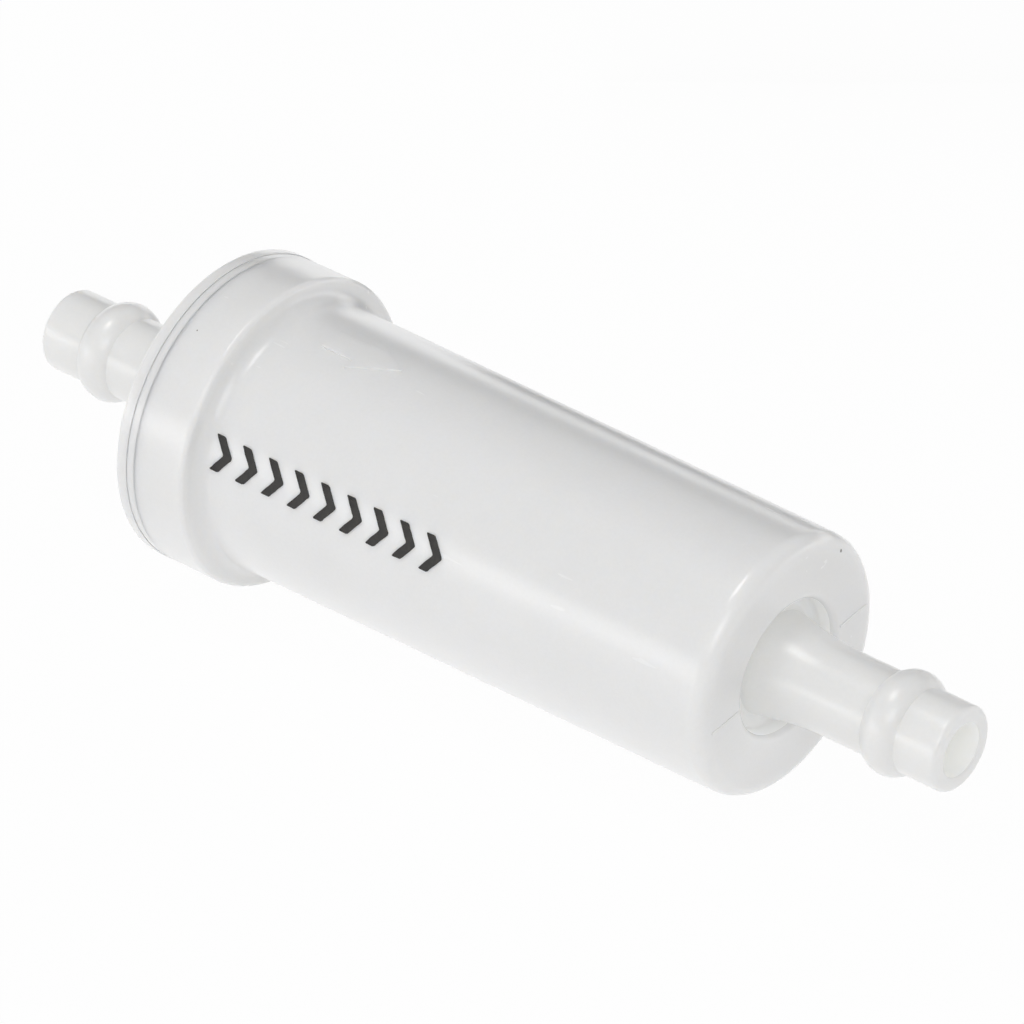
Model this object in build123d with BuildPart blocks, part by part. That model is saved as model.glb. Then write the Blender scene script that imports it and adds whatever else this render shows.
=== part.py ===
"""Inline fuel filter for small engines, as the separate pieces that it is assembled from.

The flow axis is +X, from the inlet nipple at -X to the outlet nipple at +X, and +Z is up with the
filter lying on its side. The origin is on the flow axis, halfway between the two nipple tips.
Every length is in millimetres.
"""

from build123d import *
from math import degrees, radians, tan
import os

# ---- hose nipples, alike at both ends -------------------------------------------------------
nipple_diameter = 8.0  # takes hose of 5/16 inch or 8 mm bore
port_diameter = 5.0  # the fuel passage through a nipple
bead_height = 0.87  # how far the hose bead stands proud of the nipple
bead_width = 3.6
tip_round = 0.4
port_edge_round = 0.2  # at the port's mouth in the tip
inlet_nipple_length = 20.3  # from the inlet cap's outer face to the tip
inlet_bead_setback = 6.6  # from the tip to the middle of the bead
outlet_nipple_length = 18.7  # from the housing's end face to the tip
outlet_bead_setback = 6.2

# ---- inlet cap ------------------------------------------------------------------------------
cap_overhang = 0.05  # how far the cap's rim stands proud of the housing's flange
cap_rim_thickness = 1.3
cap_plate_thickness = 1.9
cap_edge_round = 0.35
cap_root_round = 1.0  # where the inlet nipple leaves the cap
spigot_length = 4.5  # the collar that plugs the housing's mouth
spigot_wall = 1.3

# ---- weld between the cap and the housing ---------------------------------------------------
weld_width = 0.9
weld_groove_width = 0.12  # the fine groove left on each side of the ring
weld_groove_depth = 0.5
weld_setback = 0.12  # how far the ring stays under the housing flange's rim
weld_edge_round = 0.1

# ---- housing --------------------------------------------------------------------------------
flange_thickness = 5.8
flange_height = 2.1  # how far the flange stands proud of the barrel
flange_edge_round = 0.75
barrel_length = 57.9  # from the flange's front face to the end face
barrel_root_diameter = 26.1
barrel_draft = 0.67  # degrees of taper towards the end face
barrel_root_round = 1.6  # where the barrel meets the flange
barrel_end_round = 1.6
housing_wall = 1.4
end_wall = 1.8
moat_width = 2.4  # the round recess in the end face, about the outlet nipple
moat_depth = 2.0
moat_floor = 1.5
moat_lip_round = 0.25
moat_root_round = 0.6
socket_depth = 4.0  # the collar inside, which takes the element's neck
socket_wall = 1.2

# ---- marks moulded on the housing -----------------------------------------------------------
arrow_height = 0.2  # relief of the flow arrow
arrow_turn = 3.65  # degrees about the barrel from the top, towards -Y
arrow_setback = 5.7  # from the flange's front face to the arrow's tail
arrow_tail_length = 3.7
arrow_tail_width = 2.75
arrow_head_length = 4.65
arrow_head_width = 4.95
parting_turn = 96.1  # degrees from the top, towards -Y, to the mould's parting plane
parting_width = 0.22
parting_height = 0.07
parting_margin = 0.1  # from the line's ends to the rounds at both edges of the end face

# ---- filter element -------------------------------------------------------------------------
plate_thickness = 1.2
plate_rim_height = 2.4  # how far a plate's rim laps over the pleats
plate_rim_wall = 0.5
potting_thickness = 1.3
neck_bore_diameter = 4.4
neck_diameter = 7.0
seal_groove_depth = 0.6
seal_width = 1.1
seal_corner_round = 0.25
core_diameter = 8.8
core_wall = 0.9
core_hole_diameter = 1.3
core_hole_columns = 6
core_hole_pitch = 3.0
pleat_count = 24
paper_thickness = 0.35
seam_strip_width = 3.2
seam_strip_thickness = 0.25
seam_strip_turn = 180.0  # degrees from the top to the paper's side seam
standoff_count = 4
standoff_width = 1.2

# ---- clearances -----------------------------------------------------------------------------
spigot_clearance = 0.05  # radial, between the cap's spigot and the housing's mouth
spigot_end_clearance = 0.8  # along the axis, from the spigot to the element
standoff_clearance = 0.1  # between the standoffs and the cap's inner face
standoff_inner_margin = 0.9  # from the port's edge to the standoffs
standoff_outer_margin = 1.5  # from the standoffs to the spigot
element_clearance = 0.6  # between the end plates and the narrow end of the housing
neck_seat_clearance = 0.2  # between the outlet plate and the housing's collar
neck_end_clearance = 0.5  # between the neck's end and the foot of the collar
neck_clearance = 0.25  # radial, between the neck and the collar
seal_clearance = 0.02  # radial, on each side of the squeezed seal
cast_clearance = 0.05  # radial, round the core, the potting and the side seam
fold_clearance = 0.3  # radial, between the core and the inner folds

# ---- stations along the flow axis -----------------------------------------------------------
overall_length = (
    inlet_nipple_length
    + cap_rim_thickness
    + weld_width
    + flange_thickness
    + barrel_length
    + outlet_nipple_length
)
inlet_tip_x = -overall_length / 2
cap_face_x = inlet_tip_x + inlet_nipple_length
cap_rim_x = cap_face_x + cap_rim_thickness
mouth_x = cap_rim_x + weld_width
shoulder_x = mouth_x + flange_thickness
end_face_x = shoulder_x + barrel_length
outlet_tip_x = end_face_x + outlet_nipple_length
spigot_end_x = cap_rim_x + spigot_length
cap_inner_x = cap_face_x + cap_plate_thickness
moat_floor_x = end_face_x - moat_depth
boss_face_x = moat_floor_x - moat_floor
socket_mouth_x = boss_face_x - socket_depth
cavity_end_x = end_face_x - end_wall
element_inlet_x = spigot_end_x + spigot_end_clearance
element_outlet_x = socket_mouth_x - neck_seat_clearance
neck_end_x = boss_face_x - neck_end_clearance
seal_x = (socket_mouth_x + neck_end_x) / 2
plate_inlet_inner_x = element_inlet_x + plate_thickness
plate_outlet_inner_x = element_outlet_x - plate_thickness
paper_inlet_x = plate_inlet_inner_x + potting_thickness
paper_outlet_x = plate_outlet_inner_x - potting_thickness

# ---- radii ----------------------------------------------------------------------------------
nipple_radius = nipple_diameter / 2
port_radius = port_diameter / 2
barrel_root_radius = barrel_root_diameter / 2
barrel_end_radius = barrel_root_radius - barrel_length * tan(radians(barrel_draft))
flange_radius = barrel_root_radius + flange_height
cap_radius = flange_radius + cap_overhang
cavity_root_radius = barrel_root_radius - housing_wall
cavity_end_radius = barrel_end_radius - housing_wall
spigot_radius = cavity_root_radius - spigot_clearance
moat_radius = nipple_radius + moat_width
boss_radius = moat_radius + housing_wall
neck_radius = neck_diameter / 2
neck_bore_radius = neck_bore_diameter / 2
seal_seat_radius = neck_radius - seal_groove_depth
socket_radius = neck_radius + neck_clearance
element_radius = cavity_end_radius - element_clearance
plate_rim_inner_radius = element_radius - plate_rim_wall
core_radius = core_diameter / 2
core_inner_radius = core_radius - core_wall
fold_inner_radius = core_radius + fold_clearance
seam_strip_radius = plate_rim_inner_radius - cast_clearance
fold_outer_radius = seam_strip_radius - seam_strip_thickness - cast_clearance
standoff_start_radius = port_radius + standoff_inner_margin
standoff_end_radius = spigot_radius - spigot_wall - standoff_outer_margin

# the two rounds of the flange's front face share its height
edge_share = 0.32
root_share = 0.66
shoulder_edge_round = min(flange_edge_round, edge_share * flange_height)
shoulder_root_round = min(barrel_root_round, root_share * flange_height)

section_plane = Plane.XZ  # half sections are drawn here: flow axis across, radius up


def round_corner(section, x, radius_at, size):
    """Rounds the corner of the half section that lies at this station and radius."""
    fillet(section.vertices().sort_by_distance((x, radius_at))[0], radius=size)


def nipple_outline(root_x, tip_x, bead_setback):
    """The closed outline of a hose nipple's half section."""
    outward = 1 if tip_x > root_x else -1
    bead_x = tip_x - outward * bead_setback
    bead_front_x = bead_x + outward * bead_width / 2
    bead_back_x = bead_x - outward * bead_width / 2
    with BuildLine() as outline:
        Polyline(
            (bead_back_x, nipple_radius),
            (root_x, nipple_radius),
            (root_x, port_radius),
            (tip_x, port_radius),
            (tip_x, nipple_radius),
            (bead_front_x, nipple_radius),
        )
        ThreePointArc(
            (bead_front_x, nipple_radius),
            (bead_x, nipple_radius + bead_height),
            (bead_back_x, nipple_radius),
        )
    return outline.edges()


def plane_about_axis(turn, x=0):
    """A plane on the flow axis, x along the flow, that faces this many degrees from the top towards -Y."""
    return Plane(origin=(x, 0, 0), x_dir=(1, 0, 0), z_dir=(0, 0, 1)).rotated((turn, 0, 0))


# ---- inlet cap ------------------------------------------------------------------------------
with BuildPart() as inlet_cap:
    with BuildSketch(section_plane) as cap_section:
        with BuildLine():
            Polyline(
                (cap_face_x, port_radius),
                (cap_face_x, cap_radius),
                (cap_rim_x, cap_radius),
                (cap_rim_x, spigot_radius),
                (spigot_end_x, spigot_radius),
                (spigot_end_x, spigot_radius - spigot_wall),
                (cap_inner_x, spigot_radius - spigot_wall),
                (cap_inner_x, port_radius),
                close=True,
            )
        make_face()
        make_face(nipple_outline(cap_inner_x, inlet_tip_x, inlet_bead_setback))
        round_corner(cap_section, cap_face_x, cap_radius, cap_edge_round)
        round_corner(cap_section, cap_face_x, nipple_radius, cap_root_round)
        round_corner(cap_section, inlet_tip_x, nipple_radius, tip_round)
        round_corner(cap_section, inlet_tip_x, port_radius, port_edge_round)
    revolve(axis=Axis.X)
inlet_cap.part.label = "inlet_cap"

# ---- weld ring ------------------------------------------------------------------------------
weld_radius = flange_radius - weld_setback
weld_groove_radius = weld_radius - weld_groove_depth
weld_back_x = cap_rim_x + weld_groove_width
weld_front_x = mouth_x - weld_groove_width
with BuildPart() as weld_ring:
    with BuildSketch(section_plane) as weld_section:
        with BuildLine():
            Polyline(
                (cap_rim_x, cavity_root_radius),
                (cap_rim_x, weld_groove_radius),
                (weld_back_x, weld_groove_radius),
                (weld_back_x, weld_radius),
                (weld_front_x, weld_radius),
                (weld_front_x, weld_groove_radius),
                (mouth_x, weld_groove_radius),
                (mouth_x, cavity_root_radius),
                close=True,
            )
        make_face()
        round_corner(weld_section, weld_back_x, weld_radius, weld_edge_round)
        round_corner(weld_section, weld_front_x, weld_radius, weld_edge_round)
    revolve(axis=Axis.X)
weld_ring.part.label = "weld_ring"

# ---- flow arrow -----------------------------------------------------------------------------
arrow_tail_x = shoulder_x + arrow_setback
arrow_barb_x = arrow_tail_x + arrow_tail_length
arrow_tip_x = arrow_barb_x + arrow_head_length
with BuildPart() as flow_arrow:
    with BuildSketch(plane_about_axis(arrow_turn)):
        with BuildLine():
            Polyline(
                (arrow_tail_x, arrow_tail_width / 2),
                (arrow_barb_x, arrow_tail_width / 2),
                (arrow_barb_x, arrow_head_width / 2),
                (arrow_tip_x, 0),
                (arrow_barb_x, -arrow_head_width / 2),
                (arrow_barb_x, -arrow_tail_width / 2),
                (arrow_tail_x, -arrow_tail_width / 2),
                close=True,
            )
        make_face()
    extrude(amount=cap_radius)
    # the prism is cut to a thin pad that follows the barrel
    with BuildSketch(section_plane):
        with BuildLine():
            Polyline(
                (shoulder_x, barrel_root_radius - housing_wall / 2),
                (shoulder_x, barrel_root_radius + arrow_height),
                (end_face_x, barrel_end_radius + arrow_height),
                (end_face_x, barrel_end_radius - housing_wall / 2),
                close=True,
            )
        make_face()
    revolve(axis=Axis.X, mode=Mode.INTERSECT)

# ---- housing body ---------------------------------------------------------------------------
parting_start_radius = moat_radius + moat_lip_round + parting_margin
parting_end_radius = barrel_end_radius - barrel_end_round - parting_margin
with BuildPart() as housing_body:
    with BuildSketch(section_plane) as housing_section:
        with BuildLine():
            Polyline(
                (mouth_x, cavity_root_radius),
                (mouth_x, flange_radius),
                (shoulder_x, flange_radius),
                (shoulder_x, barrel_root_radius),
                (end_face_x, barrel_end_radius),
                (end_face_x, moat_radius),
                (moat_floor_x, moat_radius),
                (moat_floor_x, port_radius),
                (boss_face_x, port_radius),
                (boss_face_x, socket_radius),
                (socket_mouth_x, socket_radius),
                (socket_mouth_x, socket_radius + socket_wall),
                (boss_face_x, socket_radius + socket_wall),
                (boss_face_x, boss_radius),
                (cavity_end_x, boss_radius),
                (cavity_end_x, cavity_end_radius),
                close=True,
            )
        make_face()
        make_face(nipple_outline(boss_face_x, outlet_tip_x, outlet_bead_setback))
        round_corner(housing_section, shoulder_x, flange_radius, shoulder_edge_round)
        round_corner(housing_section, shoulder_x, barrel_root_radius, shoulder_root_round)
        round_corner(housing_section, end_face_x, barrel_end_radius, barrel_end_round)
        round_corner(housing_section, end_face_x, moat_radius, moat_lip_round)
        round_corner(housing_section, moat_floor_x, moat_radius, moat_root_round)
        round_corner(housing_section, moat_floor_x, nipple_radius, moat_root_round)
        round_corner(housing_section, outlet_tip_x, nipple_radius, tip_round)
        round_corner(housing_section, outlet_tip_x, port_radius, port_edge_round)
    revolve(axis=Axis.X)
    add(flow_arrow.part)
    # the parting line shows as a hair of flash, on both sides of the end face
    for turn in (parting_turn, parting_turn - 180):
        with BuildSketch(plane_about_axis(turn).offset(parting_start_radius)):
            with Locations((end_face_x, 0)):
                Rectangle(2 * parting_height, parting_width)
        extrude(amount=parting_end_radius - parting_start_radius)
housing_body.part.label = "housing_body"

# ---- filter element -------------------------------------------------------------------------
with BuildPart() as element_inlet_plate:
    with BuildSketch(section_plane):
        with BuildLine():
            Polyline(
                (element_inlet_x, 0),
                (element_inlet_x, element_radius),
                (plate_inlet_inner_x + plate_rim_height, element_radius),
                (plate_inlet_inner_x + plate_rim_height, plate_rim_inner_radius),
                (plate_inlet_inner_x, plate_rim_inner_radius),
                (plate_inlet_inner_x, 0),
                close=True,
            )
        make_face()
    revolve(axis=Axis.X)
    # ribs hold the element off the cap, and fuel spreads out between them
    inlet_side = Plane(origin=(element_inlet_x, 0, 0), x_dir=(0, 1, 0), z_dir=(-1, 0, 0))
    with BuildSketch(inlet_side):
        with PolarLocations((standoff_start_radius + standoff_end_radius) / 2, standoff_count):
            Rectangle(standoff_end_radius - standoff_start_radius, standoff_width)
    extrude(amount=element_inlet_x - cap_inner_x - standoff_clearance)
element_inlet_plate.part.label = "element_inlet_plate"

with BuildPart() as element_outlet_plate:
    with BuildSketch(section_plane):
        with BuildLine():
            Polyline(
                (plate_outlet_inner_x, neck_bore_radius),
                (plate_outlet_inner_x, plate_rim_inner_radius),
                (plate_outlet_inner_x - plate_rim_height, plate_rim_inner_radius),
                (plate_outlet_inner_x - plate_rim_height, element_radius),
                (element_outlet_x, element_radius),
                (element_outlet_x, neck_radius),
                (seal_x - seal_width / 2, neck_radius),
                (seal_x - seal_width / 2, seal_seat_radius),
                (seal_x + seal_width / 2, seal_seat_radius),
                (seal_x + seal_width / 2, neck_radius),
                (neck_end_x, neck_radius),
                (neck_end_x, neck_bore_radius),
                close=True,
            )
        make_face()
    revolve(axis=Axis.X)
element_outlet_plate.part.label = "element_outlet_plate"

with BuildPart() as neck_seal:
    with BuildSketch(section_plane) as seal_section:
        with Locations((seal_x, (seal_seat_radius + socket_radius) / 2)):
            RectangleRounded(
                seal_width - 2 * seal_clearance,
                socket_radius - seal_seat_radius - 2 * seal_clearance,
                seal_corner_round,
            )
    revolve(axis=Axis.X)
neck_seal.part.label = "neck_seal"

core_middle_x = (paper_inlet_x + paper_outlet_x) / 2
core_hole_rows = int((paper_outlet_x - paper_inlet_x) / core_hole_pitch)
with BuildPart() as core_tube:
    with BuildSketch(Plane.YZ.offset(plate_inlet_inner_x)):
        Circle(core_radius)
        Circle(core_inner_radius, mode=Mode.SUBTRACT)
    extrude(amount=plate_outlet_inner_x - plate_inlet_inner_x)
    for column in range(core_hole_columns):
        with BuildSketch(plane_about_axis(column * 360 / core_hole_columns, core_middle_x)):
            with GridLocations(core_hole_pitch, core_hole_pitch, core_hole_rows, 1):
                Circle(core_hole_diameter / 2)
        extrude(amount=fold_inner_radius, mode=Mode.SUBTRACT)
core_tube.part.label = "core_tube"

inner_fold_middle = fold_inner_radius + paper_thickness / 2
outer_fold_middle = fold_outer_radius - paper_thickness / 2
half_pleat = 180 / pleat_count
folds = [
    Vector(outer_fold_middle if side == 0 else inner_fold_middle, 0).rotate(
        Axis.Z, (2 * pleat + side) * half_pleat
    )
    for pleat in range(pleat_count)
    for side in (0, 1)
]
with BuildSketch(Plane.YZ.offset(paper_inlet_x)) as inside_of_pleats:
    with BuildLine():
        Polyline(*folds, close=True)
    make_face()
    offset(amount=-paper_thickness / 2, kind=Kind.ARC)
with BuildPart() as filter_paper:
    with BuildSketch(Plane.YZ.offset(paper_inlet_x)):
        with BuildLine():
            Polyline(*folds, close=True)
        make_face()
        offset(amount=paper_thickness / 2, kind=Kind.ARC)
        add(inside_of_pleats.sketch_local, mode=Mode.SUBTRACT)
    extrude(amount=paper_outlet_x - paper_inlet_x)
filter_paper.part.label = "filter_paper"

with BuildPart() as pleat_seam_strip:
    strip_arc = degrees(seam_strip_width / seam_strip_radius)
    with BuildSketch(section_plane.rotated((seam_strip_turn - strip_arc / 2, 0, 0))):
        with Locations((core_middle_x, seam_strip_radius - seam_strip_thickness / 2)):
            Rectangle(paper_outlet_x - paper_inlet_x, seam_strip_thickness)
    revolve(axis=Axis.X, revolution_arc=strip_arc)
pleat_seam_strip.part.label = "pleat_seam_strip"

cast_discs = []
for end, start_x in (("inlet", plate_inlet_inner_x), ("outlet", paper_outlet_x)):
    with BuildPart() as potting:
        with BuildSketch(Plane.YZ.offset(start_x)):
            Circle(plate_rim_inner_radius - cast_clearance)
            Circle(core_radius + cast_clearance, mode=Mode.SUBTRACT)
        extrude(amount=potting_thickness)
    potting.part.label = f"{end}_potting"
    cast_discs.append(potting)

# ---- files ----------------------------------------------------------------------------------
pieces = [
    inlet_cap,
    weld_ring,
    housing_body,
    element_inlet_plate,
    element_outlet_plate,
    neck_seal,
    core_tube,
    filter_paper,
    pleat_seam_strip,
    *cast_discs,
]
os.makedirs("parts", exist_ok=True)
for piece in pieces:
    export_step(piece.part, f"parts/{piece.part.label}.step")
print("overall length", round(overall_length, 2), "mm")
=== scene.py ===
"""Visual model of an inline fuel filter for small engines, and the studio that it lies in.

The flow axis is +X, from the inlet nipple to the outlet nipple, and +Z is up with the filter lying
on its side. Lengths are in metres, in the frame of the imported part. The three shells of milky nylon
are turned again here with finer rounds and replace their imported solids. The filter element inside
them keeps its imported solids, which get their finishes.
"""

from __future__ import annotations

import logging
import math
import random
from dataclasses import dataclass, field
from enum import Enum
from functools import cache, cached_property
from typing import Any, Callable, Sequence

import bmesh
import bpy
from mathutils import Matrix, Vector

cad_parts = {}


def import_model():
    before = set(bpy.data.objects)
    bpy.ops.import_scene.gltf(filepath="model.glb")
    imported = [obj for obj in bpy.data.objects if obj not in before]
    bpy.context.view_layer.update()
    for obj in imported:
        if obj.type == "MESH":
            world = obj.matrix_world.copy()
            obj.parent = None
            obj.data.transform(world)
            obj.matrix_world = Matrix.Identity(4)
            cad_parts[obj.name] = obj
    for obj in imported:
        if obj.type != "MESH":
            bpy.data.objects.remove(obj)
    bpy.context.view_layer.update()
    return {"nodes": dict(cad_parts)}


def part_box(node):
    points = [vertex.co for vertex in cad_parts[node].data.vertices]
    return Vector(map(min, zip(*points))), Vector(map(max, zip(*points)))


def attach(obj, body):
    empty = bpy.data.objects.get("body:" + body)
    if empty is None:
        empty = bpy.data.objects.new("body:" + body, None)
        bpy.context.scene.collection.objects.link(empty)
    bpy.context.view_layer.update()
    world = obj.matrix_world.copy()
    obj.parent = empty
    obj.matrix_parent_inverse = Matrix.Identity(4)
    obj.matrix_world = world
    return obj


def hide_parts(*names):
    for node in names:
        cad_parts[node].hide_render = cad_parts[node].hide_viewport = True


log = logging.getLogger("fuel_filter")

MM = 0.001
FULL_TURN = 2 * math.pi
SHELL_STEPS = 360  # facets round a turned shell
SHARP_ANGLE = math.radians(32)
ON_PLANE = 1e-6  # a point this near to a plane lies on it
CUT_REACH = 1e-7  # a cut takes up corners this near to it
SLIVER = 0.01 * MM  # slack where a face is sorted by where its middle lies
RIM_SEGMENTS = 2  # facets across the bevel of a raised pad's rim

# Blender's types, by shorter names
Mesh = bmesh.types.BMesh
Face = bmesh.types.BMFace
Vert = bmesh.types.BMVert
Tree = bpy.types.NodeTree
Node = bpy.types.Node
Socket = bpy.types.NodeSocket
Outputs = bpy.types.NodeOutputs
Material = bpy.types.Material
Colour = tuple[float, float, float]


# ---- turning and meshes ----


def bevel(mesh: Mesh, geometry: Sequence[Any], size: float, segments: int, affect: str) -> None:
    """Rounds off corners or edges.

    Args:
        mesh: The mesh that holds them.
        geometry: The corners or edges.
        size: How far the round reaches from each.
        segments: Facets across the round.
        affect: VERTICES for corners, EDGES for edges, which keep clear of each other.
    """
    bmesh.ops.bevel(
        mesh,
        geom=geometry,
        offset=size,
        offset_type="OFFSET",
        segments=segments,
        profile=0.5,
        affect=affect,
        clamp_overlap=affect == "EDGES",
        material=-1,
    )


class SectionPen:
    """Draws the closed half section of a turned piece, and turns it about the flow axis."""

    fine_round = 0.3 * MM  # a round smaller than this gets fewer segments
    fine_segments = 4
    wide_segments = 9
    bulge_segments = 18

    def __init__(self, x: float, r: float) -> None:
        """Starts the outline.

        Args:
            x: Station of the first corner on the flow axis.
            r: Radius of the first corner.
        """
        self.mesh = bmesh.new()
        self.first = self.mesh.verts.new((x, 0.0, r))
        self.last = self.first
        self.rounds: list[tuple[Vert, float]] = []

    def run(self, *corners: tuple[float, ...]) -> None:
        """Draws straight runs from corner to corner.

        Args:
            corners: Each corner's station and radius, then its round's radius if it has a round.
        """
        for x, r, *rounding in corners:
            corner = self.mesh.verts.new((x, 0.0, r))
            self.mesh.edges.new((self.last, corner))
            self.rounds += [(corner, size) for size in rounding]
            self.last = corner

    def bulge(self, x: float, height: float) -> None:
        """Swells outwards on an arc that comes back to the same radius.

        Args:
            x: Station where the arc ends.
            height: How far the arc stands proud in its middle.
        """
        start = self.last.co.copy()
        half = (x - start.x) / 2
        arc_radius = (height**2 + half**2) / (2 * height)
        swept = bmesh.ops.spin(
            self.mesh,
            geom=[self.last],
            cent=(start.x + half, 0.0, start.z + height - arc_radius),
            axis=(0, 1, 0),
            angle=2 * math.asin(half / arc_radius),
            steps=self.bulge_segments,
        )
        self.last = swept["geom_last"][0]

    def turn(self) -> Mesh:
        """Closes the outline, rounds its corners and turns it into a solid.

        Returns:
            The turned solid, with its faces outwards.
        """
        self.mesh.edges.new((self.last, self.first))
        for corner, size in self.rounds:
            segments = self.fine_segments if size < self.fine_round else self.wide_segments
            bevel(self.mesh, [corner], size, segments, "VERTICES")
        bmesh.ops.spin(
            self.mesh,
            geom=self.mesh.verts[:] + self.mesh.edges[:],
            cent=(0, 0, 0),
            axis=(1, 0, 0),
            angle=FULL_TURN,
            steps=SHELL_STEPS,
            use_merge=True,
        )
        bmesh.ops.recalc_face_normals(self.mesh, faces=self.mesh.faces)
        return self.mesh


def faces_where(mesh: Mesh, wanted: Callable[[Vector], bool]) -> list[Face]:
    """The faces of a mesh whose middles pass a test, in mesh order."""
    return [face for face in mesh.faces if wanted(face.calc_center_median())]


def cut_faces(mesh: Mesh, faces: Sequence[Face], point: Vector, normal: Vector) -> None:
    """Cuts some faces along a plane and keeps both sides.

    Args:
        mesh: The mesh that holds the faces.
        faces: The faces to cut.
        point: A point on the plane.
        normal: The plane's normal.
    """
    verts = {vert for face in faces for vert in face.verts}
    edges = {edge for face in faces for edge in face.edges}
    bmesh.ops.bisect_plane(
        mesh, geom=[*verts, *edges, *faces], dist=CUT_REACH, plane_co=point, plane_no=normal
    )


def raise_faces(mesh: Mesh, faces: list[Face], shift: Callable[[Vector], Vector]) -> list[Face]:
    """Raises some faces as one pad with upright walls.

    Args:
        mesh: The mesh that holds the faces.
        faces: The faces to raise.
        shift: Gives how far a point of the pad moves.

    Returns:
        The pad's top faces.
    """
    edges = {edge for face in faces for edge in face.edges}
    raised = bmesh.ops.extrude_face_region(mesh, geom=[*faces, *edges])["geom"]
    for vert in (item for item in raised if isinstance(item, Vert)):
        vert.co += shift(vert.co)
    return [item for item in raised if isinstance(item, Face)]


def soften_rim(mesh: Mesh, tops: Sequence[Face], size: float) -> None:
    """Bevels the rim of a raised pad.

    Args:
        mesh: The mesh that holds the pad.
        tops: The pad's top faces.
        size: Width of the bevel.
    """
    inside = set(tops)
    rim = {
        edge
        for face in tops
        for edge in face.edges
        if any(other not in inside for other in edge.link_faces)
    }
    bevel(mesh, list(rim), size, RIM_SEGMENTS, "EDGES")


def place_mesh(name: str, mesh: Mesh, materials: Sequence[Material]) -> bpy.types.Object:
    """Makes an object of a finished mesh and links it to the scene.

    Args:
        name: The object's name.
        mesh: Its mesh, which is freed.
        materials: Its materials, in the order of its faces' material numbers.

    Returns:
        The object.
    """
    data = bpy.data.meshes.new(name)
    mesh.to_mesh(data)
    mesh.free()
    for material in materials:
        data.materials.append(material)
    placed = bpy.data.objects.new(name, data)
    bpy.context.scene.collection.objects.link(placed)
    return placed


def finish_piece(
    name: str, mesh: Mesh, finishes: Sequence[Finish], slot: str | None, *nodes: str
) -> None:
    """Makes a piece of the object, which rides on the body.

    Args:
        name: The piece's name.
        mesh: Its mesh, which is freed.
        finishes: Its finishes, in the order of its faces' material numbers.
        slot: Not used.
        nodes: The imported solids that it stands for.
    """
    piece = place_mesh(name, mesh, [material_of(finish) for finish in finishes])
    piece.data.shade_smooth()
    piece.data.set_sharp_from_angle(angle=SHARP_ANGLE)
    shading = piece.modifiers.new("even_shading", "WEIGHTED_NORMAL")
    shading.keep_sharp = True
    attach(piece, "root")
    if nodes:
        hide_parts(*nodes)
    log.info("built %s, %d faces", name, len(piece.data.polygons))


def about_axis(turn: float) -> Vector:
    """The direction square to the flow axis that is turned this far from the top towards -Y."""
    return Vector((0.0, -math.sin(turn), math.cos(turn)))


def outward(point: Vector) -> Vector:
    """The direction away from the flow axis at a point."""
    return Vector((0.0, point.y, point.z)).normalized()


# ---- node tools ----


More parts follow.
